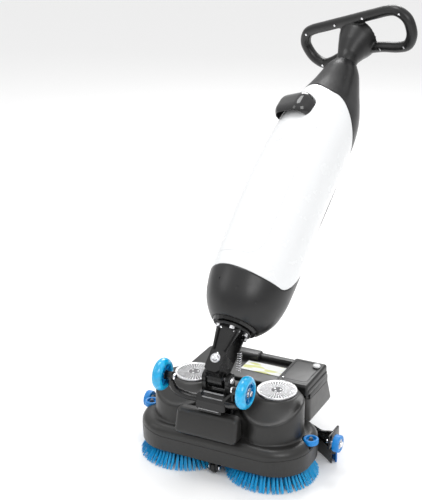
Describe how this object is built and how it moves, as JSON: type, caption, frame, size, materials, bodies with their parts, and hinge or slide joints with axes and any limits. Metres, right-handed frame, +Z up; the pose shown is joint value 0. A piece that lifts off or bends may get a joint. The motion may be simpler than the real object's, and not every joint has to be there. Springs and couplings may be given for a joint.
{
  "type": "wet and dry floor scrubber",
  "caption": "Walk-behind wet and dry floor scrubber: twin disc brushes, rear squeegee and recovery tank, leaning clean-water body with a loop grip.",
  "frame": {"origin": "centre of the rest-pose footprint, on the floor", "axes": "+Z up, +X to the right seen from behind the machine's travel, -Y the way the bumper faces, +Y towards the squeegee and the user"},
  "size_m": [0.536, 0.8988, 1.0194],
  "materials": {
    "charcoal_plastic": "satin moulded, faint grain",
    "grey_plastic": "satin",
    "black_plastic": "semi-gloss moulded",
    "gloss_black_plastic": "gloss",
    "white_plastic": "gloss moulded",
    "cyan_urethane": "translucent cast urethane",
    "blue_bristle": "nylon filament",
    "blue_rubber": "matt rubber",
    "steel": "zinc plated",
    "ribbed_aluminium": "cast, machined face",
    "blank_label": "plain printed film, no text",
    "motor_body": "satin painted"
  },
  "bodies": {
    "deck": {"deck_shell": "charcoal_plastic", "front_bumper": "charcoal_plastic", "chassis_plate": "steel", "gearbox_left": "steel", "gearbox_right": "steel", "brush_motor_left": "motor_body", "brush_motor_right": "motor_body", "motor_cap_left": "ribbed_aluminium", "motor_cap_right": "ribbed_aluminium", "pivot_bracket": "black_plastic", "tilt_pin": "steel", "wheel_arm_left": "black_plastic", "wheel_arm_right": "black_plastic", "axle_left": "steel", "axle_right": "steel", "caster_fork": "black_plastic", "squeegee_mount": "black_plastic", "squeegee_pin": "steel", "return_spring_left": "steel", "return_spring_right": "steel"},
    "brush_left": {"bristles_left": "blue_bristle", "brush_block_left": "black_plastic", "drive_hub_left": "steel"},
    "brush_right": {"bristles_right": "blue_bristle", "brush_block_right": "black_plastic", "drive_hub_right": "steel"},
    "wheel_left": {"wheel_tyre_left": "cyan_urethane", "wheel_hub_left": "cyan_urethane"},
    "wheel_right": {"wheel_tyre_right": "cyan_urethane", "wheel_hub_right": "cyan_urethane"},
    "guide_left": {"guide_roller_left": "blue_rubber"},
    "guide_right": {"guide_roller_right": "blue_rubber"},
    "caster": {"caster_wheel": "black_plastic"},
    "squeegee": {"squeegee_holder": "black_plastic", "squeegee_blade_front": "blue_rubber", "squeegee_blade_rear": "blue_rubber", "roller_bolt_left": "steel", "roller_bolt_right": "steel"},
    "squeegee_wheel_left": {"squeegee_roller_left": "blue_rubber"},
    "squeegee_wheel_right": {"squeegee_roller_right": "blue_rubber"},
    "tank": {"recovery_tank": "grey_plastic"},
    "lid": {"tank_lid": "charcoal_plastic", "label_plate": "blank_label"},
    "drain_cap": {"filler_cap": "white_plastic"},
    "cross": {"cross_block": "black_plastic"},
    "yoke": {"yoke_frame": "black_plastic", "lean_pin": "steel"},
    "handle": {"foot_cap": "charcoal_plastic", "foot_plate": "black_plastic", "top_cap": "charcoal_plastic", "rear_spine": "charcoal_plastic", "mast_tube": "ribbed_aluminium", "battery_pack": "grey_plastic", "water_pump": "motor_body", "grip_loop": "black_plastic", "control_panel": "gloss_black_plastic"},
    "water_tank": {"clean_tank": "white_plastic"},
    "latch": {"tank_latch": "gloss_black_plastic"},
    "power": {"power_button": "cyan_urethane"},
    "water": {"water_button": "white_plastic"}
  },
  "joints": [
    {"name": "handle_tilt", "type": "hinge", "parent": "deck", "child": "cross", "pos_m": [0, -0.33593, 0.242], "axis": [1, 0, 0], "range_deg": [-15, 47.1], "deforming": ["return_spring_left", "return_spring_right"]},
    {"name": "handle_lean", "type": "hinge", "parent": "cross", "child": "yoke", "pos_m": [0, -0.31395, 0.26242], "axis": [0, 0.6807, -0.7325], "range_deg": [-22.95, 17.05]},
    {"name": "body_swivel", "type": "hinge", "parent": "yoke", "child": "handle", "pos_m": [0.00468, -0.26236, 0.3404], "axis": [0.0515, 0.7316, 0.6798], "range_deg": [-7.75, 62.25]},
    {"name": "brush_spin_left", "type": "hinge", "parent": "deck", "child": "brush_left", "pos_m": [-0.115, -0.28293, 0.045], "axis": [0, 0, 1], "continuous": true},
    {"name": "wheel_spin_left", "type": "hinge", "parent": "deck", "child": "wheel_left", "pos_m": [-0.106, -0.41093, 0.264], "axis": [1, 0, 0], "continuous": true},
    {"name": "guide_roll_left", "type": "hinge", "parent": "deck", "child": "guide_left", "pos_m": [-0.213, -0.28043, 0.102], "axis": [0, 0, 1], "continuous": true},
    {"name": "brush_spin_right", "type": "hinge", "parent": "deck", "child": "brush_right", "pos_m": [0.115, -0.28293, 0.045], "axis": [0, 0, 1], "continuous": true},
    {"name": "wheel_spin_right", "type": "hinge", "parent": "deck", "child": "wheel_right", "pos_m": [0.106, -0.41093, 0.264], "axis": [1, 0, 0], "continuous": true},
    {"name": "guide_roll_right", "type": "hinge", "parent": "deck", "child": "guide_right", "pos_m": [0.213, -0.28043, 0.102], "axis": [0, 0, 1], "continuous": true},
    {"name": "caster_roll", "type": "hinge", "parent": "deck", "child": "caster", "pos_m": [0, -0.35693, 0.0165], "axis": [1, 0, 0], "continuous": true},
    {"name": "squeegee_lift", "type": "hinge", "parent": "deck", "child": "squeegee", "pos_m": [0, -0.19793, 0.029], "axis": [1, 0, 0], "range_deg": [0, 8]},
    {"name": "squeegee_roll_left", "type": "hinge", "parent": "squeegee", "child": "squeegee_wheel_left", "pos_m": [-0.256, -0.21793, 0.0725], "axis": [1, 0, 0], "continuous": true},
    {"name": "squeegee_roll_right", "type": "hinge", "parent": "squeegee", "child": "squeegee_wheel_right", "pos_m": [0.256, -0.21793, 0.0725], "axis": [1, 0, 0], "continuous": true},
    {"name": "tank_slide", "type": "slide", "parent": "deck", "child": "tank", "axis": [0, 1, 0], "range_m": [0, 0.12]},
    {"name": "lid_open", "type": "hinge", "parent": "tank", "child": "lid", "pos_m": [0, -0.04843, 0.164], "axis": [-1, 0, 0], "range_deg": [0, 92]},
    {"name": "drain_cap_turn", "type": "hinge", "parent": "lid", "child": "drain_cap", "pos_m": [0.144, -0.08293, 0.1894], "axis": [0, 0, 1], "range_deg": [0, 90]},
    {"name": "water_tank_release", "type": "slide", "parent": "handle", "child": "water_tank", "axis": [-0.4573, -0.5879, 0.6673], "range_m": [0, 0.1]},
    {"name": "latch_open", "type": "hinge", "parent": "water_tank", "child": "latch", "pos_m": [-0.00109, 0.13745, 0.81083], "axis": [-0.8878, 0.3452, -0.3043], "range_deg": [0, 10]},
    {"name": "power_press", "type": "slide", "parent": "handle", "child": "power", "axis": [-0.2535, -0.9187, -0.3028], "range_m": [0, 0.0015], "stiffness_N_per_m": 300},
    {"name": "water_press", "type": "slide", "parent": "handle", "child": "water", "axis": [-0.2535, -0.9187, -0.3028], "range_m": [0, 0.0015], "stiffness_N_per_m": 300}
  ]
}
